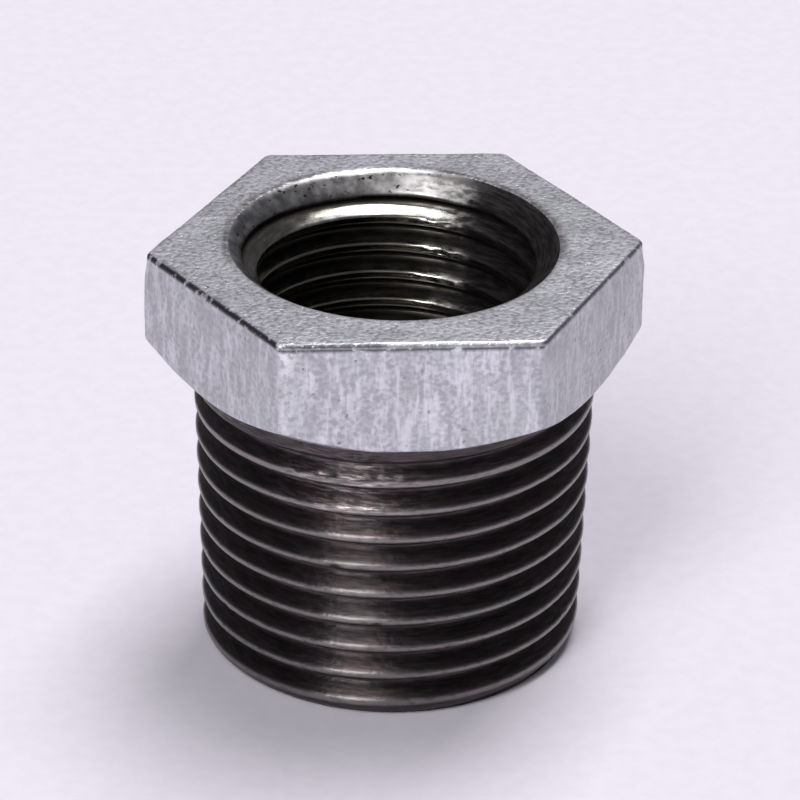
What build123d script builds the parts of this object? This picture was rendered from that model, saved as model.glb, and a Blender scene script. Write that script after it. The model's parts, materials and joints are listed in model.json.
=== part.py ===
from build123d import *
from build123d.topology import SkipClean

import os
from math import atan, cos, degrees, radians, tan

os.makedirs("parts", exist_ok=True)

# Hexagon reducing bush, a one-piece iron casting: male taper pipe thread R 3/8 outside,
# female parallel pipe thread Rp 1/4 inside. Millimetres, +Z up through the hexagon head,
# and the origin is the centre of the male thread's small end. The hexagon has two of its
# corners on the X axis, and a flat faces each way along Y.

# Whitworth pipe thread form, 19 threads to the inch, the same for both threads
PITCH = 25.4 / 19
THREAD_DEPTH = 0.640327 * PITCH
ROOT_FLAT = PITCH / 6
FLANK_ANGLE = 27.5
TOOL_CLEARANCE = 0.12

# Whole part
TOTAL_LENGTH = 18.1
HEAD_HEIGHT = 5.0
SHANK_LENGTH = TOTAL_LENGTH - HEAD_HEIGHT

# Hexagon head: its underside is turned to a shallow cone that cuts the corners back
ACROSS_FLATS = 18.0
CORNER_RADIUS = 0.7
TOP_EDGE_RADIUS = 0.25
UNDERSIDE_RADIUS = 8.95
UNDERSIDE_ANGLE = 33.5

# Male thread: the crest's diameter at the small end grows 1 in 16 up the shank
SMALL_END_DIAMETER = 16.34
TAPER = 1 / 16
SMALL_END_CHAMFER = 0.25
MALE_START_Z = 0.3085
MALE_TURNS = 8
RUN_OUT_RISES = [0.30, 0.66]

# Female thread: its crest is the tapping bore, its root is the full thread diameter
FEMALE_DIAMETER = 13.157
TAPPING_DIAMETER = 11.8
TAPPING_DEPTH = 12.0
FEMALE_START_Z = 7.416
FEMALE_TURNS = 8
COUNTERSINK_DIAMETER = 14.1

# Cast waterway, from the tapping bore down to the small end
WATERWAY_DIAMETER = 11.0
WATERWAY_CHAMFER = 0.3


def turned(points, start_angle=0.0, arc=360.0):
    """The solid that a closed outline of (radius, z) points makes when it is turned about Z."""
    outline = Plane.XZ * make_face(Polyline(*points, close=True))
    return Rot(0, 0, start_angle) * revolve(outline, Axis.Z, arc)


def groove(root_radius, start_z, steps, outward):
    """A thread groove that climbs one pitch a turn, its root growing by one step each turn.

    outward is 1 where the groove opens away from the axis, and -1 where it opens towards it.
    The cutting section reaches past the crest by the tool's clearance.
    """
    reach = THREAD_DEPTH + TOOL_CLEARANCE
    half_root = ROOT_FLAT / 2
    half_mouth = half_root + reach * tan(radians(FLANK_ANGLE))
    mouth_radius = root_radius + outward * reach
    section = Polyline(
        (root_radius, start_z - half_root),
        (mouth_radius, start_z - half_mouth),
        (mouth_radius, start_z + half_mouth),
        (root_radius, start_z + half_root),
        close=True,
    )
    turns = []
    for number, step in enumerate(steps):
        slope = atan(step / PITCH)
        radius = root_radius + sum(steps[:number])
        centre = (0, 0, start_z + number * PITCH)
        turn = Helix(PITCH / cos(slope), PITCH, radius, center=centre, cone_angle=degrees(slope))
        turns.append(turn.edge())
    path = Wire.combine(turns, tol=1e-5)[0]
    return sweep(Plane.XZ * make_face(section), path=path, is_frenet=True)


def hexagon_head():
    """The head's rounded hexagonal prism, cut back below by the turned underside."""
    hexagon = RegularPolygon(ACROSS_FLATS / 2, 6, major_radius=False)
    hexagon = fillet(hexagon.vertices(), CORNER_RADIUS)
    prism = Pos(0, 0, SHANK_LENGTH) * extrude(hexagon, HEAD_HEIGHT)
    prism = fillet(prism.edges().group_by(Axis.Z)[-1], TOP_EDGE_RADIUS)
    spread = HEAD_HEIGHT / tan(radians(UNDERSIDE_ANGLE))
    envelope = turned([
        (0, SHANK_LENGTH),
        (UNDERSIDE_RADIUS, SHANK_LENGTH),
        (UNDERSIDE_RADIUS + spread, TOTAL_LENGTH),
        (0, TOTAL_LENGTH),
    ])
    return prism & envelope


def threaded_shank():
    """The tapered shank. Its thread loses depth over the last two turns, up to the head."""
    small_radius = SMALL_END_DIAMETER / 2
    growth = TAPER / 2
    blank = turned([
        (0, 0),
        (small_radius - SMALL_END_CHAMFER, 0),
        (small_radius + SMALL_END_CHAMFER * growth, SMALL_END_CHAMFER),
        (small_radius + SHANK_LENGTH * growth, SHANK_LENGTH),
        (0, SHANK_LENGTH),
    ])
    start_z = MALE_START_Z - PITCH
    start_radius = small_radius + start_z * growth - THREAD_DEPTH
    steps = [PITCH * growth] * (MALE_TURNS + 1) + RUN_OUT_RISES
    return blank - groove(start_radius, start_z, steps, outward=1)


def bore_outline():
    """Half of the bore's lengthwise section: waterway, tapping bore and countersink."""
    water = WATERWAY_DIAMETER / 2
    tapping = TAPPING_DIAMETER / 2
    mouth = COUNTERSINK_DIAMETER / 2
    shoulder_z = TOTAL_LENGTH - TAPPING_DEPTH
    return [
        (0, 0),
        (water + WATERWAY_CHAMFER, 0),
        (water, WATERWAY_CHAMFER),
        (water, shoulder_z - (tapping - water)),
        (tapping, shoulder_z),
        (tapping, TOTAL_LENGTH - (mouth - tapping)),
        (mouth, TOTAL_LENGTH),
        (0, TOTAL_LENGTH),
    ]


def female_thread():
    """The female thread's groove, from its run-out in the bore to above the head."""
    root_radius = FEMALE_DIAMETER / 2
    steps = [THREAD_DEPTH] + [0] * FEMALE_TURNS
    return groove(root_radius - THREAD_DEPTH, FEMALE_START_Z, steps, outward=-1)


def hex_bushing():
    """The whole casting. Its bore is cut as two half turns, so each wall is two faces."""
    body = hexagon_head() + threaded_shank()
    with SkipClean():
        body = body - turned(bore_outline(), 0, 180)
        body = body - turned(bore_outline(), 180, 180)
        body = body - female_thread()
    return body


bushing = hex_bushing()
print("valid", bushing.is_valid, "solids", len(bushing.solids()), "volume", round(bushing.volume, 1))
export_step(bushing, "parts/hex_bushing.step")
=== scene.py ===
import json
import math

import bmesh
import bpy
import numpy as np
from mathutils import Matrix, Vector, noise


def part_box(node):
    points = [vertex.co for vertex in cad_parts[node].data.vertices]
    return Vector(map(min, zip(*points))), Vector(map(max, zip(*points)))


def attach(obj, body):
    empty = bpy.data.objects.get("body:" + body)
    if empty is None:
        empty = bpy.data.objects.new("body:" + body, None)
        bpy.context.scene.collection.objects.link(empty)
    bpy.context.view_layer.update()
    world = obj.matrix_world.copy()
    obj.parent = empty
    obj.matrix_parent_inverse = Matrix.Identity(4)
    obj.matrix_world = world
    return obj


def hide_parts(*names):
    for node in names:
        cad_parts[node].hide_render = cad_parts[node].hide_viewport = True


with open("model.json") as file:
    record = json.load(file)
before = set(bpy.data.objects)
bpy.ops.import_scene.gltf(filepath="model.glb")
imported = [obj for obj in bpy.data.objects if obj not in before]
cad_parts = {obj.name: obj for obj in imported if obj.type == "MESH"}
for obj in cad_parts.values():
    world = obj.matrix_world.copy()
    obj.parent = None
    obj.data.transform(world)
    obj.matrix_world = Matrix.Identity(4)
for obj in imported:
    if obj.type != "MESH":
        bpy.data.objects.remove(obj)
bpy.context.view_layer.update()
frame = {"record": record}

# Lengths are in metres, so a size in millimetres is written as a number times MM.
MM = 0.001
TURN = 2 * math.pi

# The CAD node gives the whole length, and its mounts give the two bores.
low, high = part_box("hex_bushing")
mounts = {mount["name"]: mount["dims"] for mount in frame["record"]["mounts"]}
LENGTH = high.z - low.z
TAPPING_RADIUS = mounts["female_thread"]["r_mm"] * MM
WATERWAY_RADIUS = mounts["waterway"]["r_mm"] * MM

# Whitworth pipe thread, 19 threads to the inch
PITCH = 25.4 * MM / 19
THREAD_DEPTH = 0.640327 * PITCH
ROOT_HALF = PITCH / 12
FLANK_SLOPE = math.tan(math.radians(27.5))

# Male thread. Its radius grows by SIZE_GROWTH for each unit of height.
SIZE_GROWTH = 1 / 32
HEAD_HEIGHT = 5.0 * MM
SHANK_LENGTH = LENGTH - HEAD_HEIGHT
SMALL_RADIUS = 8.17 * MM
SMALL_CHAMFER = 0.25 * MM
CHAMFER_ROUNDING = 0.05 * MM
MALE_PHASE = 0.3085 * MM
MALE_TURNS = 8
MALE_SHALLOWING = 0.05 * MM
ROOT_ROUNDING = 0.22 * MM
CREST_ROUNDING = 0.22 * MM
RUN_OUT_RISES = (0.30 * MM, 0.66 * MM)

# At the small end the groove deepens from this share of its depth to the whole of it,
# between these turns
LEAD_IN_DEPTH = 0.35
LEAD_IN_TURNS = (-0.25, 0.05)

# Wear on the crests of both threads, and nicks in those of the male thread
CREST_WEAR = 0.012 * MM
NICK_DEPTH = 0.16 * MM

# The die tore the metal under the head. Each patch has its height, half width and half height.
TEAR_ANGLE = -108
TEAR_DEPTH = 0.30 * MM
TEAR_RAGGED = (11.6 * MM, 4.6 * MM, 2.6 * MM)
TEAR_BRIGHT = (10.8 * MM, 5.2 * MM, 3.0 * MM)

# Pits in the male thread: angle (degrees), height, size and depth (mm)
PITS = [
    (-110.7, 7.12, 0.17, 0.40),
    (-98.3, 4.50, 0.14, 0.25),
    (-124.0, 9.40, 0.13, 0.20),
    (-76.0, 3.30, 0.16, 0.20),
]

# Female thread. The height of its top groove is measured at the back of the bore.
FEMALE_RADIUS = 6.5785 * MM
FEMALE_PHASE = 7.416 * MM
FEMALE_ROUNDING = 0.12 * MM
CREST_BURR = 0.08 * MM
FEMALE_BOTTOM = 6.5 * MM
TOP_GROOVE = 17.09 * MM

# The tap tore the crests at the back right: the angles (degrees) over which that starts and
# stops, and the heights over which it starts
TAP_TEAR_DEPTH = 0.16 * MM
TAP_TEAR_ANGLES = ((50, 58), (70, 80))
TAP_TEAR_HEIGHTS = (12 * MM, 13 * MM)

# Countersink. Its radius is measured at the top face, and shrinks by COUNTERSINK_SLOPE for
# each unit of depth.
COUNTERSINK_RADIUS = 7.01 * MM
COUNTERSINK_SLOPE = 1.1
COUNTERSINK_OVAL = 0.12 * MM
COUNTERSINK_SHIFT = (-0.09 * MM, 0.29 * MM)
COUNTERSINK_ROUNDING = 0.04 * MM
RIM_ROUNDING = 0.52 * MM

# Waterway, from the shoulder below the female thread down to the small end
SHOULDER_Z = 6.1 * MM
WATERWAY_CHAMFER = 0.3 * MM

# Head: each flat of this casting faces its own way (degrees) at its own distance (mm)
FLATS = [
    (29.7, 9.11),
    (89.4, 9.05),
    (150.6, 8.94),
    (211.2, 9.26),
    (269.9, 8.98),
    (331.1, 9.10),
]
FRONT_LEFT, FRONT, FRONT_RIGHT = 3, 4, 5
CORNER_FILLET = 0.55 * MM
LEAST_FILLET = 0.1 * MM
LEAST_FACING = 0.1
TOP_ROUNDING = 0.18 * MM
UNDERSIDE_RADIUS = 8.95 * MM
UNDERSIDE_SLOPE = math.tan(math.radians(33.5))
LOWER_ROUNDING = 0.12 * MM

# Two corners swell. The swelling starts and is complete at these depths below the top.
CORNER_SWELL = 0.12 * MM
SWELL_DEPTHS = (0.2 * MM, 1.3 * MM)

# Lumps in the cast skin: size, height on the head and height in the waterway (mm). They
# start and end gently, over these radii and heights.
LUMPS = [(2.4, 0.030, 0.05), (0.8, 0.016, 0.05), (0.3, 0.010, 0.02)]
HEAD_SKIN_RADII = (6.95 * MM, 7.6 * MM)
HEAD_SKIN_HEIGHTS = (SHANK_LENGTH + 0.02 * MM, SHANK_LENGTH + 0.4 * MM)
WATERWAY_SKIN_RADII = (5.8 * MM, 5.5 * MM)

# Grid: columns round the axis, lines across a groove (mm from its middle), and lines down
# the flats (mm below the top edge's rounding)
CORNER_COLUMNS = 8
FLAT_COLUMNS = 33
MALE_LINES = [0, 0.10, 0.20, 0.32, 0.44, 0.49, 0.53, 0.57, 0.62]
FEMALE_LINES = [0, 0.11, 0.23, 0.35, 0.45, 0.49, 0.53, 0.58]
WALL_DROPS = [0, 0.05, 0.10, 0.16, 0.24, 0.35, 0.50]
WALL_LINES = 15
JOIN_DISTANCE = 2e-8
LEAST_EDGE = 1e-8

# The materials' numbers on the mesh
ZINC, THREAD, BORE, CAST = 0, 1, 2, 3


# ---------------------------------------------------------------- outline of the head

def corner_fillets(inset):
    """Each corner's fillet: its centre, its radius, and the angles where it starts and ends."""
    radius = max(CORNER_FILLET - inset, LEAST_FILLET)
    found = []
    for (turn_a, far_a), (turn_b, far_b) in zip(FLATS[-1:] + FLATS[:-1], FLATS):
        way_a = np.array([math.cos(math.radians(turn_a)), math.sin(math.radians(turn_a))])
        way_b = np.array([math.cos(math.radians(turn_b)), math.sin(math.radians(turn_b))])
        reach = np.array([far_a, far_b]) * MM - inset - radius
        centre = np.linalg.solve(np.array([way_a, way_b]), reach)
        start = math.atan2(*(centre + radius * way_a)[::-1])
        end = math.atan2(*(centre + radius * way_b)[::-1])
        found.append((centre, radius, start, start + (end - start) % TURN))
    return found


def column_angles():
    """The angles of the grid's columns over one whole turn, close together at the corners."""
    corners = corner_fillets(0)
    angles = []
    for number, (_, _, start, end) in enumerate(corners):
        following = corners[(number + 1) % len(corners)][2]
        following = end + (following - end) % TURN
        angles += list(np.linspace(start, end, CORNER_COLUMNS, endpoint=False))
        angles += list(np.linspace(end, following, FLAT_COLUMNS, endpoint=False))
    first = angles[0]
    turned = sorted((angle - first) % TURN for angle in angles)
    return first + np.array(turned + [TURN])


def hexagon_radius(theta, inset=0.0):
    """How far the head's side is from the axis at each angle, with the outline moved in."""
    radius = np.full(theta.shape, np.inf)
    for turn, far in FLATS:
        facing = np.cos(theta - math.radians(turn))
        flat = (far * MM - inset) / np.maximum(facing, LEAST_FACING)
        radius = np.where(facing > LEAST_FACING, np.minimum(radius, flat), radius)
    for centre, fillet, start, end in corner_fillets(inset):
        along = centre[0] * np.cos(theta) + centre[1] * np.sin(theta)
        across = centre @ centre - along ** 2
        arc = along + np.sqrt(np.maximum(fillet ** 2 - across, 0))
        within = (theta - start) % TURN < end - start
        radius = np.where(within, arc, radius)
    return radius


# ---------------------------------------------------------------- thread forms

def ramp(start, end, values):
    """0 on the start's side and 1 on the end's side, with an even change between them."""
    return np.clip((values - start) / (end - start), 0, 1)


def smooth_step(start, end, values):
    """0 on the start's side and 1 on the end's side, with a smooth change between them."""
    mix = ramp(start, end, values)
    return mix * mix * (3 - 2 * mix)


def window(rise, fall, values, change=smooth_step):
    """1 inside a range: it climbs over the first pair of values and falls over the second."""
    return change(*rise, values) * change(*fall[::-1], values)


def soft_max(a, b, width):
    """The larger of two lengths, with a rounded change-over of that width."""
    mix = np.maximum(width - np.abs(a - b), 0) / width
    return np.maximum(a, b) + mix ** 2 * width / 4


def soft_min(a, b, width):
    """The smaller of two lengths, with a rounded change-over of that width."""
    return -soft_max(-a, -b, width)


def flank_depth(offset):
    """Depth of a sharp-edged groove at a distance along the axis from its middle."""
    return THREAD_DEPTH - np.maximum(np.abs(offset) - ROOT_HALF, -ROOT_HALF) / FLANK_SLOPE


def noise_field(points, size, seed):
    """Smooth noise from -1 to 1 at each point, in lumps of about that size."""
    shape = points.shape[:-1]
    shift = Vector((seed * 17.3, seed * 5.9, seed * 11.1))
    flat = points.reshape(-1, 3) / size
    values = [noise.noise(Vector(point) + shift) for point in flat]
    return np.array(values).reshape(shape)


def on_circle(radius, theta, z):
    """The points at a radius, an angle and a height."""
    return np.stack(np.broadcast_arrays(radius * np.cos(theta), radius * np.sin(theta), z), -1)


def bump_at(theta, z, angle, height, half_width, half_height):
    """A soft spot on the shank: 1 at its middle, down to 0 at its half sizes."""
    turned = (theta - math.radians(angle) + math.pi) % TURN - math.pi
    far = (turned * SMALL_RADIUS / half_width) ** 2 + ((z - height) / half_height) ** 2
    return np.clip(1 - far, 0, 1) ** 2


def male_radius(theta, z, offset, groove_z):
    """The male thread's surface, worn along its crests and torn near the head."""
    crest = SMALL_RADIUS + z * SIZE_GROWTH
    torn = bump_at(theta, z, TEAR_ANGLE, *TEAR_RAGGED)
    point = on_circle(crest, theta, z)
    ragged = np.clip(noise_field(point, 0.32 * MM, seed=1) + 0.05, 0, 1)
    nicks = np.clip(noise_field(point, 0.45 * MM, seed=2) - 0.42, 0, 1)
    wear = noise_field(point, 0.9 * MM, seed=3) + 1
    crest = crest - TEAR_DEPTH * torn * ragged - NICK_DEPTH * nicks - CREST_WEAR * wear
    for angle, height, size, depth in PITS:
        pit = bump_at(theta, z, angle, height * MM, size * MM, size * MM)
        crest = crest - depth * MM * pit
    turns = (groove_z - MALE_PHASE) / PITCH
    run_out = np.maximum(turns - MALE_TURNS, 0)
    rise = RUN_OUT_RISES[0] * np.minimum(run_out, 1)
    rise += RUN_OUT_RISES[1] * np.maximum(run_out - 1, 0)
    rise += (1 - LEAD_IN_DEPTH) * THREAD_DEPTH * (1 - smooth_step(*LEAD_IN_TURNS, turns))
    rise += MALE_SHALLOWING
    root = SMALL_RADIUS + z * SIZE_GROWTH - THREAD_DEPTH + rise
    flank = SMALL_RADIUS + z * SIZE_GROWTH - flank_depth(offset) + rise
    surface = soft_max(root, flank, ROOT_ROUNDING)
    surface = soft_min(surface, crest, CREST_ROUNDING)
    chamfer = SMALL_RADIUS - SMALL_CHAMFER + z
    return soft_min(surface, chamfer, CHAMFER_ROUNDING)


def countersink_radius(theta, z):
    """The countersink's cone, which is a little off the thread's axis and a little oval."""
    aside = COUNTERSINK_SHIFT[0] * np.cos(theta) + COUNTERSINK_SHIFT[1] * np.sin(theta)
    mouth = COUNTERSINK_RADIUS + aside - COUNTERSINK_OVAL * np.cos(2 * theta)
    return mouth - COUNTERSINK_SLOPE * (LENGTH - z)


def female_radius(theta, z, offset, groove_z):
    """The female thread's surface: burred crests, torn in one patch, and the countersink."""
    climb = np.clip((groove_z - FEMALE_PHASE) / PITCH, -1, 1)
    root = FEMALE_RADIUS - (1 - climb) * THREAD_DEPTH
    flank = root - (THREAD_DEPTH - flank_depth(offset))
    surface = soft_min(root, flank, FEMALE_ROUNDING)
    point = on_circle(TAPPING_RADIUS, theta, z)
    worn = CREST_WEAR * noise_field(point, 0.6 * MM, seed=4)
    torn = window(*TAP_TEAR_ANGLES, np.degrees(theta) % 360) * smooth_step(*TAP_TEAR_HEIGHTS, z)
    shreds = noise_field(on_circle(TAPPING_RADIUS, theta, 3 * z), 0.55 * MM, seed=8)
    worn = worn + TAP_TEAR_DEPTH * torn * shreds
    surface = soft_max(surface, TAPPING_RADIUS - CREST_BURR + worn, FEMALE_ROUNDING)
    return soft_max(surface, countersink_radius(theta, z), COUNTERSINK_ROUNDING)


def helical_grid(theta, lines, phase, bottom, top, radius_at):
    """A threaded wall whose lines follow the helix, cut level at its bottom and top."""
    offsets = sorted({-line * MM for line in lines} | {line * MM for line in lines})
    offsets.append(PITCH / 2)
    first = math.floor((bottom - phase) / PITCH) - 2
    last = math.ceil((top - phase) / PITCH) + 1
    groove = np.array([number for number in range(first, last + 1) for _ in offsets])
    offset = np.array([shift for _ in range(first, last + 1) for shift in offsets])
    groove_z = phase + PITCH * (groove[:, None] + theta[None, :] / TURN)
    z = np.clip(groove_z + offset[:, None], bottom, top)
    used = (z.max(1) > bottom) & (z.min(1) < top)
    used[max(np.argmax(used) - 1, 0)] = True
    used[min(len(used) - np.argmax(used[::-1]), len(used) - 1)] = True
    z, groove_z = z[used], groove_z[used]
    turn = theta / TURN
    nearest = phase + PITCH * (np.round((z - phase) / PITCH - turn) + turn)
    return radius_at(np.broadcast_to(theta, z.shape), z, z - nearest, nearest), z


# ---------------------------------------------------------------- the surface, as a loop of grids

def rings(theta, count, inner, outer):
    """Lines spread evenly between two rings, each given as its radius and height."""
    steps = np.linspace(0, 1, count)[:, None]
    start = [np.broadcast_to(value, theta.shape)[None, :] for value in inner]
    end = [np.broadcast_to(value, theta.shape)[None, :] for value in outer]
    return [a + (b - a) * steps for a, b in zip(start, end)]


def corner_swell(theta, z):
    """How far the two corners on the X axis bulge below the top edge."""
    return CORNER_SWELL * np.cos(theta) ** 4 * smooth_step(*SWELL_DEPTHS, LENGTH - z)


def head_side(theta):
    """The head's underside, its flats with their rounded lower edge, and its top edge."""
    outline = hexagon_radius(theta)
    side = outline + corner_swell(theta, SHANK_LENGTH)
    cone = np.maximum(side - UNDERSIDE_RADIUS, 0)
    lower_z = SHANK_LENGTH + cone * UNDERSIDE_SLOPE
    foot = side - LOWER_ROUNDING
    foot_z = SHANK_LENGTH + np.maximum(foot - UNDERSIDE_RADIUS, 0) * UNDERSIDE_SLOPE
    shelf = np.minimum(UNDERSIDE_RADIUS, foot)
    arc = np.linspace(0, math.pi / 2, 4)[:, None]
    edge = (
        foot + LOWER_ROUNDING * np.sin(arc),
        foot_z + (lower_z + LOWER_ROUNDING - foot_z) * (1 - np.cos(arc)),
    )
    wall_foot = lower_z + LOWER_ROUNDING
    wall_top = LENGTH - TOP_ROUNDING
    upper_z = wall_top - np.array(WALL_DROPS[::-1])[:, None] * MM + 0 * theta
    steps = np.linspace(0, 1, WALL_LINES, endpoint=False)[:, None]
    wall_z = np.vstack([wall_foot + (upper_z[0] - wall_foot) * steps, upper_z])
    wall = (outline + corner_swell(theta, wall_z), wall_z)
    arc = np.linspace(0, math.pi / 2, 6)
    insets = TOP_ROUNDING * (1 - np.cos(arc))
    brow = (
        np.array([hexagon_radius(theta, inset) for inset in insets]),
        wall_top + TOP_ROUNDING * np.sin(arc)[:, None] + 0 * theta,
    )
    return shelf, (foot, foot_z), edge, wall, brow


def rim(theta):
    """The rounded edge where the top face turns down into the countersink."""
    arc = np.linspace(0, math.pi / 4, 6)[:, None]
    tangent = RIM_ROUNDING * math.tan(math.pi / 8)
    radius = countersink_radius(theta, LENGTH) + tangent - RIM_ROUNDING * np.sin(arc)
    z = LENGTH - RIM_ROUNDING * (1 - np.cos(arc))
    return radius, z + 0 * theta


def surface_grids(theta):
    """The whole skin, from the small end up the outside and down through the bore.

    Each grid has its material's number, its radii and its heights.
    """
    columns = np.arange(len(theta))
    male = helical_grid(theta, MALE_LINES, MALE_PHASE, 0.0, SHANK_LENGTH, male_radius)
    shelf, foot, edge, wall, brow = head_side(theta)
    mouth = rim(theta)
    bore = (FEMALE_BOTTOM, mouth[1][-1, 0])
    female = helical_grid(theta, FEMALE_LINES, FEMALE_PHASE, *bore, female_radius)
    male_foot = male[0][np.argmin(male[1], 0), columns]
    male_head = male[0][np.argmax(male[1], 0), columns]
    female_foot = female[0][np.argmin(female[1], 0), columns]
    mouth[0][-1] = female[0][np.argmax(female[1], 0), columns]
    drop = TAPPING_RADIUS - WATERWAY_RADIUS
    inlet = WATERWAY_RADIUS + WATERWAY_CHAMFER
    shoulder = (TAPPING_RADIUS, SHOULDER_Z)
    waterway = (WATERWAY_RADIUS, SHOULDER_Z - drop)
    return [
        (THREAD, rings(theta, 7, (inlet, 0.0), (male_foot, 0.0))),
        (THREAD, male),
        (THREAD, rings(theta, 3, (male_head, SHANK_LENGTH), (shelf, SHANK_LENGTH))),
        (ZINC, rings(theta, 4, (shelf, SHANK_LENGTH), foot)),
        (ZINC, edge),
        (ZINC, wall),
        (ZINC, brow),
        (ZINC, rings(theta, 11, (brow[0][-1], LENGTH), (mouth[0][0], LENGTH))),
        (ZINC, (mouth[0][:3], mouth[1][:3])),
        (BORE, (mouth[0][2:], mouth[1][2:])),
        (BORE, (female[0][::-1], female[1][::-1])),
        (BORE, rings(theta, 3, (female_foot, FEMALE_BOTTOM), shoulder)),
        (CAST, rings(theta, 4, shoulder, waterway)),
        (CAST, rings(theta, 11, waterway, (WATERWAY_RADIUS, WATERWAY_CHAMFER))),
        (CAST, rings(theta, 3, (WATERWAY_RADIUS, WATERWAY_CHAMFER), (inlet, 0.0))),
    ]


def skin_mesh():
    """One closed mesh from the grids, joined where their edges meet."""
    theta = column_angles()
    mesh = bmesh.new()
    for material, (radius, z) in surface_grids(theta):
        points = on_circle(radius, theta[None, :], z)
        grid = [[mesh.verts.new(point) for point in line] for line in points]
        for lower, upper in zip(grid, grid[1:]):
            for column in range(len(theta) - 1):
                corners = (lower[column], lower[column + 1], upper[column + 1], upper[column])
                mesh.faces.new(corners).material_index = material
    bmesh.ops.remove_doubles(mesh, verts=mesh.verts, dist=JOIN_DISTANCE)
    bmesh.ops.dissolve_degenerate(mesh, edges=mesh.edges, dist=LEAST_EDGE)
    bmesh.ops.recalc_face_normals(mesh, faces=mesh.faces)
    return mesh


# ---------------------------------------------------------------- lumps in the cast skin

def shape_casting(mesh):
    """Moves the head's and waterway's cast skin in and out by small lumps."""
    points = np.array([vert.co[:] for vert in mesh.verts])
    normals = np.array([vert.normal[:] for vert in mesh.verts])
    radius = np.hypot(points[:, 0], points[:, 1])
    head = smooth_step(*HEAD_SKIN_RADII, radius)
    head *= smooth_step(*HEAD_SKIN_HEIGHTS, points[:, 2])
    water = smooth_step(*WATERWAY_SKIN_RADII, radius)
    move = np.zeros(len(points))
    for seed, (size, on_head, in_waterway) in enumerate(LUMPS, start=5):
        lumps = noise_field(points, size * MM, seed)
        move += (head * on_head + water * in_waterway) * lumps * MM
    moved = points + normals * move[:, None]
    for vert, point in zip(mesh.verts, moved):
        vert.co = point


# ---------------------------------------------------------------- marks for the materials

# Below the head, the bore is inside this radius and the male thread outside it
INSIDE_LIMIT = 7.0 * MM

# A pair of values below is where a mark starts and where it reaches full strength. A pair
# of pairs, in degrees round the axis, is where it starts and where it stops.

# Rubbed crests of the male thread: how far from the groove's middle they are, and the
# heights where the rubbing stops below the head
RUBBED_CREST = (0.48 * MM, 0.60 * MM)
RUBBED_HEIGHTS = (12.3 * MM, 11.5 * MM)

# Countersink: whatever is this near to its cone, or above this height
CONE_GAPS = (0.06 * MM, 0.03 * MM)
COUNTERSINK_TOP = LENGTH - 0.3 * MM

# Painted shade in the female thread's roots. In the top turn it starts this far from the groove's
# middle, and in the lower turns, where it is weaker, at these radii. The last is its limit.
TOP_ROOT_SHADE = (-0.22 * MM, -0.14 * MM)
LOWER_ROOT_SHADE = 0.65
SHADED_ROOT_RADII = (5.98 * MM, 6.15 * MM)
ROOT_SHADE_LIMIT = 7.5 * MM

# Painted shade that blackens the bore's right side
SIDE_SHADE_ANGLES = ((-80, -50), (46, 78))

# A painted highlight: a bright patch at the bore's back right, standing in for glints on its torn
# crests. Below the top turn only the crests get it, inside these radii.
GLINT_ANGLES = ((52, 64), (72, 84))
GLINT_BOTTOM = 12.5 * MM
GLINT_TOP = (LENGTH - 0.16 * MM, LENGTH - 0.30 * MM)
GLINT_CRESTS = (6.06 * MM, 5.96 * MM)

# The head's top, and the painted shade that darkens the head's sides except the front flat. It
# starts this many degrees from the middle of the front flat, and is weaker on the left.
TOP_START = (LENGTH - 0.12 * MM, LENGTH - 0.05 * MM)
FLAT_SHADE_START = (29, 31)
LEFT_FLAT_SHADE = 0.72

# The left end of the front flat's top edge, where a line of painted shade runs along it
SHADED_END = (-0.6 * MM, -1.4 * MM)

# A painted highlight down the corner at the front left: its angle (degrees), its distance from
# the axis, how far to each side it reaches, and the heights where it starts and where it is
# brightest
HIGHLIT_CORNER = -119.2
CORNER_RADIUS = 10.3 * MM
CORNER_HIGHLIGHT_WIDTHS = (0.45 * MM, 0.10 * MM)
CORNER_HIGHLIGHT_FOOT = (13.6 * MM, 14.6 * MM)
CORNER_HIGHLIGHT_TOP = (16.6 * MM, 17.2 * MM)

# A darker band round the back of the countersink's rim: how far out and down it reaches, where
# it starts from the front, and a gap where it is weaker
RIM_DARK_WIDTHS = (0.50 * MM, 0.20 * MM)
RIM_DARK_DEPTH = 0.4 * MM
RIM_DARK_FRONT = (-3.0 * MM, 0.5 * MM)
RIM_DARK_GAP = ((72, 84), (106, 122))
RIM_DARK_GAP_LOSS = 0.7


def from_groove(z, theta, phase):
    """How far each point is above the nearest groove's middle, along the axis."""
    turn = (z - phase) / PITCH - theta / TURN
    return (turn - np.round(turn)) * PITCH


def male_marks(radius, theta, z):
    """Where the male thread's crests are rubbed, and where its die tore it, both 0 to 1."""
    shank = (radius > INSIDE_LIMIT) & (z < SHANK_LENGTH - 0.01 * MM)
    crest = smooth_step(*RUBBED_CREST, np.abs(from_groove(z, theta, MALE_PHASE)))
    crest *= shank * smooth_step(*RUBBED_HEIGHTS, z)
    return {"crest": crest, "torn": bump_at(theta, z, TEAR_ANGLE, *TEAR_BRIGHT)}


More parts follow.
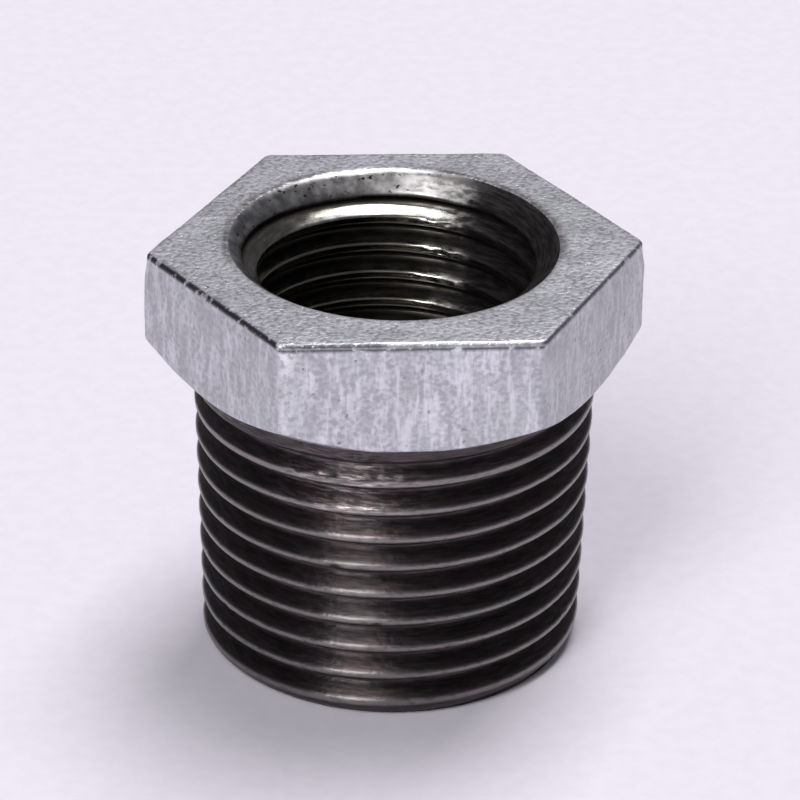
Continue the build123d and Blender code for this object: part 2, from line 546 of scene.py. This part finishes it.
def bore_marks(radius, theta, z):
    """The bore's painted root shade, countersink, painted side shade and painted highlight patch,
    0 to 1.
    """
    cone_gap = np.abs(radius - countersink_radius(theta, z))
    sink = np.maximum(smooth_step(*CONE_GAPS, cone_gap), z > COUNTERSINK_TOP)
    turned = (np.degrees(theta) + 90) % 360 - 90
    top_turn = z > TOP_GROOVE + PITCH * (turned - 90) / 360 - PITCH / 2
    # Painted shade in the thread's roots, in the lower turns and in the top turn
    lower = LOWER_ROOT_SHADE * smooth_step(*SHADED_ROOT_RADII, radius) * ~top_turn
    top = smooth_step(*TOP_ROOT_SHADE, from_groove(z, theta, FEMALE_PHASE)) * top_turn
    root = np.maximum(lower, top) * (1 - sink)
    root *= (radius < ROOT_SHADE_LIMIT) & (z > FEMALE_BOTTOM)
    # Painted shade over the bore's right side
    side_shade = window(*SIDE_SHADE_ANGLES, turned, ramp)
    # Painted highlight: a bright patch standing in for glints at the bore's back right
    glint_patch = window(*GLINT_ANGLES, turned) * (z > GLINT_BOTTOM) * (1 - root)
    glint_patch *= np.maximum(top_turn, smooth_step(*GLINT_CRESTS, radius))
    glint_patch *= smooth_step(*GLINT_TOP, z)
    return {"root": root, "sink": sink, "side_shade": side_shade, "glint_patch": glint_patch}


def edge_line(points, flat, side, drop, half_width):
    """A line along one flat's top edge, that far in from the flat and below the top."""
    turn, far = FLATS[flat]
    way = np.array([math.cos(math.radians(turn)), math.sin(math.radians(turn))])
    inward = far * MM - points[:, :2] @ way - side
    below = LENGTH - points[:, 2] - drop
    return smooth_step(half_width, 0.4 * half_width, np.hypot(inward, below))


def head_marks(points):
    """The head's painted edge shade, top, painted corner highlight, painted flat shade and darker
    rim band, 0 to 1.
    """
    x, y, z = points.T
    theta = np.arctan2(y, x)
    turned = np.degrees(theta)
    shaded_end = smooth_step(*SHADED_END, x)
    # Painted shade: dark lines along the top edges, standing in for dark reflections in their
    # rounding
    edge_shade = np.maximum.reduce([
        edge_line(points, FRONT_LEFT, 0.05 * MM, 0.08 * MM, 0.20 * MM),
        0.7 * edge_line(points, FRONT_RIGHT, 0.05 * MM, 0.08 * MM, 0.15 * MM),
        0.75 * shaded_end * edge_line(points, FRONT, 0.06 * MM, 0.06 * MM, 0.15 * MM),
        0.8 * edge_line(points, FRONT, 0.0, 0.26 * MM, 0.11 * MM),
    ])
    top = smooth_step(*TOP_START, z)
    # Painted highlight down the front left corner
    aside = np.abs(theta - math.radians(HIGHLIT_CORNER)) * CORNER_RADIUS
    corner_highlight = smooth_step(*CORNER_HIGHLIGHT_WIDTHS, aside) * (0.45 + 0.55 * smooth_step(*CORNER_HIGHLIGHT_TOP, z))
    corner_highlight *= (1 - top) * smooth_step(*CORNER_HIGHLIGHT_FOOT, z)
    # Painted shade: the head's sides are darkened except the front flat, less on the left
    flat_shade = (1 - top) * smooth_step(*FLAT_SHADE_START, np.abs(turned + 90))
    flat_shade *= np.where(x > 0, 1.0, LEFT_FLAT_SHADE)
    # A darker band on the top face round the back of the countersink's rim
    rim_gap = np.hypot(x, y) - countersink_radius(theta, LENGTH)
    lip = smooth_step(*RIM_DARK_WIDTHS, rim_gap) * (z > LENGTH - RIM_DARK_DEPTH)
    lip *= 1 - RIM_DARK_GAP_LOSS * window(*RIM_DARK_GAP, turned)
    lip *= smooth_step(*RIM_DARK_FRONT, y)
    return {"edge_shade": edge_shade, "top": top, "corner_highlight": corner_highlight, "flat_shade": flat_shade, "lip": lip}


def make_marks(data):
    """Gives the mesh the marks that its materials read."""
    points = np.array([vert.co[:] for vert in data.vertices])
    radius = np.hypot(points[:, 0], points[:, 1])
    theta = np.arctan2(points[:, 1], points[:, 0])
    place = (radius, theta, points[:, 2])
    marks = {**male_marks(*place), **bore_marks(*place), **head_marks(points)}
    for name, values in marks.items():
        layer = data.attributes.new(name, "FLOAT", "POINT")
        layer.data.foreach_set("value", values.astype(np.float32))


def make_bushing(materials):
    """The casting as one closed piece, with marks for its materials to read."""
    mesh = skin_mesh()
    mesh.normal_update()
    shape_casting(mesh)
    for face in mesh.faces:
        face.smooth = True
    data = bpy.data.meshes.new("bushing")
    mesh.to_mesh(data)
    mesh.free()
    make_marks(data)
    for material in materials:
        data.materials.append(material)
    piece = bpy.data.objects.new("bushing", data)
    bpy.context.scene.collection.objects.link(piece)
    return piece


# ---------------------------------------------------------------- materials

# Colours are linear red, green and blue. These are the zinc coat's, and those of the painted
# light and shade and the darker rim band on it.
ZINC_GREY = (0.47, 0.47, 0.50)
ZINC_PALE = (0.77, 0.77, 0.81)
ZINC_CLOUD = (0.50, 0.51, 0.52)
ZINC_RUN = (0.95, 0.95, 1.0)
ZINC_DARK_RUN = (0.44, 0.44, 0.47)
ZINC_TOP = (0.87, 0.85, 0.94)
ZINC_TOP_GRAIN = (0.28, 0.28, 0.30)
# Painted shade on the head's sides other than the front flat
ZINC_FLAT_SHADE = (0.30, 0.30, 0.315)
# Painted highlight down the front left corner
ZINC_CORNER_HIGHLIGHT = (0.98, 0.98, 1.0)
ZINC_TARNISH = (0.50, 0.56, 0.54)
ZINC_PIT = (0.22, 0.22, 0.24)
# A darker band round the back of the countersink's rim
RIM_DARKENING = (0.20, 0.185, 0.20)
# Painted shade along the head's top edges
EDGE_SHADE = (0.07, 0.07, 0.085)

# The male thread's colours
DIE_CUT_DARK = (0.058, 0.050, 0.051)
DIE_CUT_LIGHT = (0.118, 0.103, 0.105)
DIE_CUT_RUSTY = (0.11, 0.078, 0.080)
RUBBED_IRON = (0.28, 0.260, 0.252)
TORN_IRON = (0.58, 0.49, 0.49)

# The female thread's and the countersink's colours
TAPPED_DARK = (0.21, 0.196, 0.170)
TAPPED_LIGHT = (0.36, 0.337, 0.297)
# Painted shade in the thread's roots
ROOT_SHADE = (0.028, 0.023, 0.019)
SINK_DARK = (0.24, 0.23, 0.23)
SINK_LIGHT = (0.46, 0.45, 0.45)
SINK_SPECK = (0.04, 0.035, 0.04)
# Painted shade over the bore's right side
SIDE_SHADE_DARK = (0.024, 0.021, 0.021)
SIDE_SHADE_LIGHT = (0.058, 0.051, 0.052)
# Painted highlight: a bright patch standing in for glints at the bore's back right
GLINT_COLOUR = (0.62, 0.60, 0.59)

# The waterway's and the floor's colours
CAST_DARK = (0.06, 0.06, 0.06)
CAST_LIGHT = (0.20, 0.20, 0.20)
CAST_RUST = (0.13, 0.10, 0.08)
CARD_DARK = (0.80, 0.765, 0.85)
CARD_LIGHT = (0.83, 0.795, 0.88)


class Nodes:
    """Short calls that add nodes to one material. Noise sizes are in millimetres."""

    def __init__(self, name):
        self.material = bpy.data.materials.new(name)
        self.material.use_nodes = True
        self.tree = self.material.node_tree
        self.shader = self.tree.nodes["Principled BSDF"]
        self.place = self.tree.nodes.new("ShaderNodeTexCoord").outputs["Object"]

    def join(self, value, socket):
        """Links a socket, or sets a plain value."""
        if isinstance(value, bpy.types.NodeSocket):
            self.tree.links.new(value, socket)
        else:
            socket.default_value = value

    def math(self, operation, a, b):
        """The sum, difference or product of two values."""
        node = self.tree.nodes.new("ShaderNodeMath")
        node.operation = operation
        self.join(a, node.inputs[0])
        self.join(b, node.inputs[1])
        return node.outputs[0]

    def noise(self, size, detail=3.0, roughness=0.55, stretch=(1, 1, 1), shift=0.0):
        """Noise with lumps of a size in mm, stretched along each axis by that many times."""
        scale = self.tree.nodes.new("ShaderNodeMapping")
        scale.inputs["Scale"].default_value = [1 / (MM * size * times) for times in stretch]
        scale.inputs["Location"].default_value = (shift, shift * 0.7, shift * 0.3)
        self.join(self.place, scale.inputs["Vector"])
        node = self.tree.nodes.new("ShaderNodeTexNoise")
        node.inputs["Scale"].default_value = 1.0
        node.inputs["Detail"].default_value = detail
        node.inputs["Roughness"].default_value = roughness
        self.join(scale.outputs[0], node.inputs["Vector"])
        return node.outputs["Fac"]

    def range(self, value, start, end, low=0.0, high=1.0):
        """Carries start..end smoothly over to low..high."""
        node = self.tree.nodes.new("ShaderNodeMapRange")
        node.interpolation_type = "SMOOTHSTEP"
        self.join(value, node.inputs["Value"])
        limits = {"From Min": start, "From Max": end, "To Min": low, "To Max": high}
        for name, number in limits.items():
            self.join(number, node.inputs[name])
        return node.outputs[0]

    def mix(self, factor, a, b):
        """A colour between two colours."""
        node = self.tree.nodes.new("ShaderNodeMix")
        node.data_type = "RGBA"
        self.join(factor, node.inputs[0])
        for value, socket in ((a, node.inputs[6]), (b, node.inputs[7])):
            plain = not isinstance(value, bpy.types.NodeSocket)
            self.join((*value, 1.0) if plain else value, socket)
        return node.outputs[2]

    def mark(self, name):
        """A mark that the mesh carries."""
        node = self.tree.nodes.new("ShaderNodeAttribute")
        node.attribute_name = name
        return node.outputs["Fac"]

    def add(self, *values):
        """The sum of several values."""
        total = values[0]
        for value in values[1:]:
            total = self.math("ADD", total, value)
        return total

    def times(self, *values):
        """The product of several values."""
        total = values[0]
        for value in values[1:]:
            total = self.math("MULTIPLY", total, value)
        return total

    def bump(self, height, distance):
        """Relief in the surface: a height of 1 stands that many mm proud."""
        node = self.tree.nodes.new("ShaderNodeBump")
        node.inputs["Distance"].default_value = distance * MM
        node.inputs["Strength"].default_value = 1.0
        self.join(height, node.inputs["Height"])
        self.join(node.outputs[0], self.shader.inputs["Normal"])

    def turned_gloss(self, amount):
        """Gloss drawn out across the fine grooves that run round the axis."""
        node = self.tree.nodes.new("ShaderNodeTangent")
        node.direction_type = "RADIAL"
        node.axis = "Z"
        self.join(node.outputs[0], self.shader.inputs["Tangent"])
        self.shader.inputs["Anisotropic"].default_value = amount
        self.shader.inputs["Anisotropic Rotation"].default_value = 0.25

    def finish(self, colour, roughness, metallic):
        """Sets what the shader shows, and gives the finished material."""
        self.join(colour, self.shader.inputs["Base Color"])
        self.join(roughness, self.shader.inputs["Roughness"])
        self.shader.inputs["Metallic"].default_value = metallic
        return self.material


def zinc_coat():
    """Hot-dip zinc: pale grey and mottled, with run marks down its flats and a few dark pits.

    It also carries painted shade along its top edges and on its sides other than the front flat,
    a painted highlight down one corner, and a darker band round the back of the rim.
    """
    n = Nodes("zinc_coat")
    grain = n.noise(0.21, detail=2, roughness=0.5)
    cloud = n.noise(1.6, detail=3, roughness=0.6, shift=3.0)
    runs = n.noise(0.34, detail=2, stretch=(1, 1, 5), shift=7.0)
    pits = n.noise(0.30, detail=2, shift=11.0)
    tarnish = n.noise(2.6, detail=2, shift=15.0)
    edge_breaks = n.noise(0.42, detail=2, shift=21.0)
    rim_patches = n.noise(0.5, detail=3, shift=25.0)
    highlight_patches = n.noise(0.3, detail=2, shift=31.0)
    top = n.mark("top")
    side = n.math("SUBTRACT", 1.0, top)
    colour = n.mix(n.range(grain, 0.30, 0.70), ZINC_GREY, ZINC_PALE)
    colour = n.mix(n.times(n.range(cloud, 0.4, 0.7), 0.4), colour, ZINC_CLOUD)
    colour = n.mix(n.times(n.range(runs, 0.48, 0.68), side, 0.58), colour, ZINC_RUN)
    colour = n.mix(n.times(n.range(runs, 0.50, 0.36), side, 0.30), colour, ZINC_DARK_RUN)
    colour = n.mix(n.times(top, 0.30), colour, ZINC_TOP)
    colour = n.mix(n.times(n.range(grain, 0.50, 0.34), top, 0.42), colour, ZINC_TOP_GRAIN)
    # Painted shade on the head's sides other than the front flat
    colour = n.mix(n.times(n.mark("flat_shade"), 0.47), colour, ZINC_FLAT_SHADE)
    # Painted highlight down the front left corner
    colour = n.mix(n.times(n.mark("corner_highlight"), n.range(highlight_patches, 0.42, 0.55)), colour, ZINC_CORNER_HIGHLIGHT)
    colour = n.mix(n.times(n.range(tarnish, 0.55, 0.72), 0.35), colour, ZINC_TARNISH)
    colour = n.mix(n.times(n.range(pits, 0.31, 0.23), 0.6), colour, ZINC_PIT)
    # A darker band round the back of the countersink's rim
    lip = n.times(n.mark("lip"), n.range(rim_patches, 0.35, 0.60, 0.45, 0.9))
    colour = n.mix(lip, colour, RIM_DARKENING)
    # Painted shade along the head's top edges
    colour = n.mix(n.times(n.mark("edge_shade"), n.range(edge_breaks, 0.36, 0.46)), colour, EDGE_SHADE)
    height = n.add(grain, n.times(runs, 0.5), n.times(n.range(pits, 0.32, 0.22), -0.8))
    n.bump(height, 0.03)
    return n.finish(colour, n.range(cloud, 0.3, 0.7, 0.38, 0.46), 0.88)


def threaded_iron():
    """Bare iron cut by a die and left oily: nearly black, with rubbed crests and a torn patch."""
    n = Nodes("threaded_iron")
    turning = n.noise(0.9, detail=3, stretch=(1, 1, 0.07), shift=1.0)
    grit = n.noise(0.22, detail=3, stretch=(1.6, 1.6, 0.7), shift=5.0)
    cloud = n.noise(2.2, detail=3, shift=9.0)
    shreds = n.noise(0.62, detail=3, stretch=(1, 1, 0.11), shift=13.0)
    crest = n.mark("crest")
    colour = n.mix(n.range(turning, 0.3, 0.75), DIE_CUT_DARK, DIE_CUT_LIGHT)
    colour = n.mix(n.times(n.range(cloud, 0.5, 0.7), 0.5), colour, DIE_CUT_RUSTY)
    rubbed = n.times(crest, n.range(grit, 0.25, 0.55, 0.45, 1.0))
    colour = n.mix(rubbed, colour, RUBBED_IRON)
    torn = n.times(n.mark("torn"), n.range(shreds, 0.47, 0.62), n.add(n.times(crest, 0.65), 0.35))
    colour = n.mix(torn, colour, TORN_IRON)
    n.bump(n.add(n.times(turning, 0.6), grit), 0.014)
    n.turned_gloss(0.85)
    return n.finish(colour, n.range(grit, 0.3, 0.7, 0.31, 0.38), 1.0)


def bored_iron():
    """Bare iron cut by a tap and a countersink.

    Painted shade darkens its roots and blackens its right side, the countersink is patchy, and a
    painted highlight brightens one patch at the back right.
    """
    n = Nodes("bored_iron")
    turning = n.noise(0.9, detail=3, stretch=(1, 1, 0.08), shift=2.0)
    smudge = n.noise(0.7, detail=4, roughness=0.6, shift=6.0)
    specks = n.noise(0.4, detail=2, stretch=(1, 1, 0.5), shift=8.0)
    glint_breaks = n.noise(0.5, detail=3, stretch=(1, 1, 0.3), shift=17.0)
    sink = n.mark("sink")
    # Painted shade in the thread's roots
    root_shade = n.mark("root")
    colour = n.mix(n.range(turning, 0.35, 0.7), TAPPED_DARK, TAPPED_LIGHT)
    colour = n.mix(root_shade, colour, ROOT_SHADE)
    patch = n.mix(n.range(smudge, 0.35, 0.65), SINK_DARK, SINK_LIGHT)
    patch = n.mix(n.range(specks, 0.36, 0.28), patch, SINK_SPECK)
    colour = n.mix(sink, colour, patch)
    # Painted shade over the bore's right side
    side_shade = n.range(n.add(n.mark("side_shade"), n.times(smudge, 0.9)), 0.55, 1.25)
    shade_film = n.mix(n.range(turning, 0.38, 0.66), SIDE_SHADE_DARK, SIDE_SHADE_LIGHT)
    colour = n.mix(side_shade, colour, shade_film)
    # Painted highlight: a bright patch standing in for glints at the bore's back right
    glints = n.times(n.mark("glint_patch"), n.range(glint_breaks, 0.38, 0.62), 0.85)
    colour = n.mix(glints, colour, GLINT_COLOUR)
    n.bump(n.add(n.times(turning, 0.4), n.times(smudge, 0.5)), 0.003)
    rough = n.range(smudge, 0.3, 0.7, 0.13, 0.20)
    rough = n.add(rough, n.times(side_shade, 0.38), n.times(sink, 0.16), n.times(root_shade, 0.28))
    return n.finish(colour, rough, 1.0)


def cast_iron_skin():
    """The waterway's as-cast skin: dark, dull and rough."""
    n = Nodes("cast_iron_skin")
    grain = n.noise(0.25, detail=4, roughness=0.65)
    cloud = n.noise(1.8, detail=3, shift=4.0)
    colour = n.mix(n.range(grain, 0.3, 0.7), CAST_DARK, CAST_LIGHT)
    colour = n.mix(n.times(n.range(cloud, 0.45, 0.65), 0.5), colour, CAST_RUST)
    n.bump(grain, 0.06)
    return n.finish(colour, n.range(grain, 0.3, 0.7, 0.6, 0.8), 0.5)


def floor_card():
    """Pale lavender-white card, faintly uneven."""
    n = Nodes("floor_card")
    fibre = n.noise(0.8, detail=4)
    colour = n.mix(n.range(fibre, 0.3, 0.7), CARD_DARK, CARD_LIGHT)
    return n.finish(colour, 0.9, 0.0)


# ---------------------------------------------------------------- studio

# Half the floor's width, in metres
FLOOR_HALF = 3.0

# Area lights: name, azimuth and elevation (degrees), distance, width and height (m), and
# power (W)
SOFTBOXES = [
    ("overhead", 151, 72, 1.5, 0.62, 0.76, 14.9),
    ("front_left", -32, 47, 1.3, 0.42, 0.95, 8.0),
    ("front_top", -8, 52, 1.5, 1.1, 1.1, 1.0),
]
SOFTBOX_COLOUR = (1.0, 0.99, 1.0)
WORLD_COLOUR = (0.92, 0.92, 1.0)
WORLD_STRENGTH = 0.135

# Camera: its angles are in degrees, and it aims this far from the middle of the object
CAMERA_AZIMUTH = 4.33
CAMERA_ELEVATION = 28.77
CAMERA_ROLL = 1.14
CAMERA_DISTANCE = 182.4 * MM
CAMERA_LENS = 191.55
CAMERA_SENSOR = 36.0
CAMERA_AIM_RIGHT = 0.26 * MM
CAMERA_AIM_UP = 1.67 * MM


def make_floor():
    """A level card that the bushing stands on."""
    mesh = bpy.data.meshes.new("floor")
    ways = [(-1, -1), (1, -1), (1, 1), (-1, 1)]
    corners = [(x * FLOOR_HALF, y * FLOOR_HALF, low.z) for x, y in ways]
    mesh.from_pydata(corners, [], [(0, 1, 2, 3)])
    mesh.materials.append(floor_card())
    floor = bpy.data.objects.new("floor", mesh)
    bpy.context.scene.collection.objects.link(floor)


def make_softbox(name, azimuth, elevation, distance, width, height, power):
    """A flat light that faces the object. Azimuth 0 is in front, and 90 to the right."""
    turn, rise = math.radians(azimuth), math.radians(elevation)
    level = Vector((math.sin(turn), -math.cos(turn), 0))
    way = level * math.cos(rise) + Vector((0, 0, math.sin(rise)))
    data = bpy.data.lights.new(name, "AREA")
    data.shape = "RECTANGLE"
    data.size = width
    data.size_y = height
    data.energy = power
    data.color = SOFTBOX_COLOUR
    light = bpy.data.objects.new(name, data)
    light.location = way * distance
    light.rotation_mode = "QUATERNION"
    light.rotation_quaternion = way.to_track_quat("Z", "Y")
    bpy.context.scene.collection.objects.link(light)


def make_world():
    """Even, weak light from all round."""
    world = bpy.data.worlds.new("studio")
    world.use_nodes = True
    background = world.node_tree.nodes["Background"]
    background.inputs["Color"].default_value = (*WORLD_COLOUR, 1.0)
    background.inputs["Strength"].default_value = WORLD_STRENGTH
    bpy.context.scene.world = world


def make_camera():
    """A long lens from above and slightly left of the front flat, tilted a little."""
    turn, rise = math.radians(CAMERA_AZIMUTH), math.radians(CAMERA_ELEVATION)
    roll = math.radians(CAMERA_ROLL)
    ahead = Vector((math.sin(turn), math.cos(turn), 0))
    side = Vector((math.cos(turn), -math.sin(turn), 0))
    middle = Vector((0, 0, LENGTH / 2))
    place = middle + CAMERA_DISTANCE * (Vector((0, 0, math.sin(rise))) - ahead * math.cos(rise))
    aim = middle + side * CAMERA_AIM_RIGHT + Vector((0, 0, CAMERA_AIM_UP))
    view = (aim - place).normalized()
    right = view.cross(Vector((0, 0, 1))).normalized()
    up = right.cross(view)
    tilt_right = right * math.cos(roll) + up * math.sin(roll)
    tilt_up = up * math.cos(roll) - right * math.sin(roll)
    data = bpy.data.cameras.new("camera")
    data.lens = CAMERA_LENS
    data.sensor_width = CAMERA_SENSOR
    data.clip_start = 5 * MM
    data.clip_end = 20.0
    camera = bpy.data.objects.new("camera", data)
    turned = Matrix((tilt_right, tilt_up, -view)).transposed().to_4x4()
    camera.matrix_world = Matrix.Translation(place) @ turned
    bpy.context.scene.collection.objects.link(camera)
    bpy.context.scene.camera = camera


def make_studio():
    """The floor, the lights and the camera."""
    make_floor()
    for softbox in SOFTBOXES:
        make_softbox(*softbox)
    make_world()
    make_camera()
    bpy.context.scene.view_settings.view_transform = "Standard"


bushing = make_bushing([zinc_coat(), threaded_iron(), bored_iron(), cast_iron_skin()])
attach(bushing, "root")
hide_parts("hex_bushing")
make_studio()
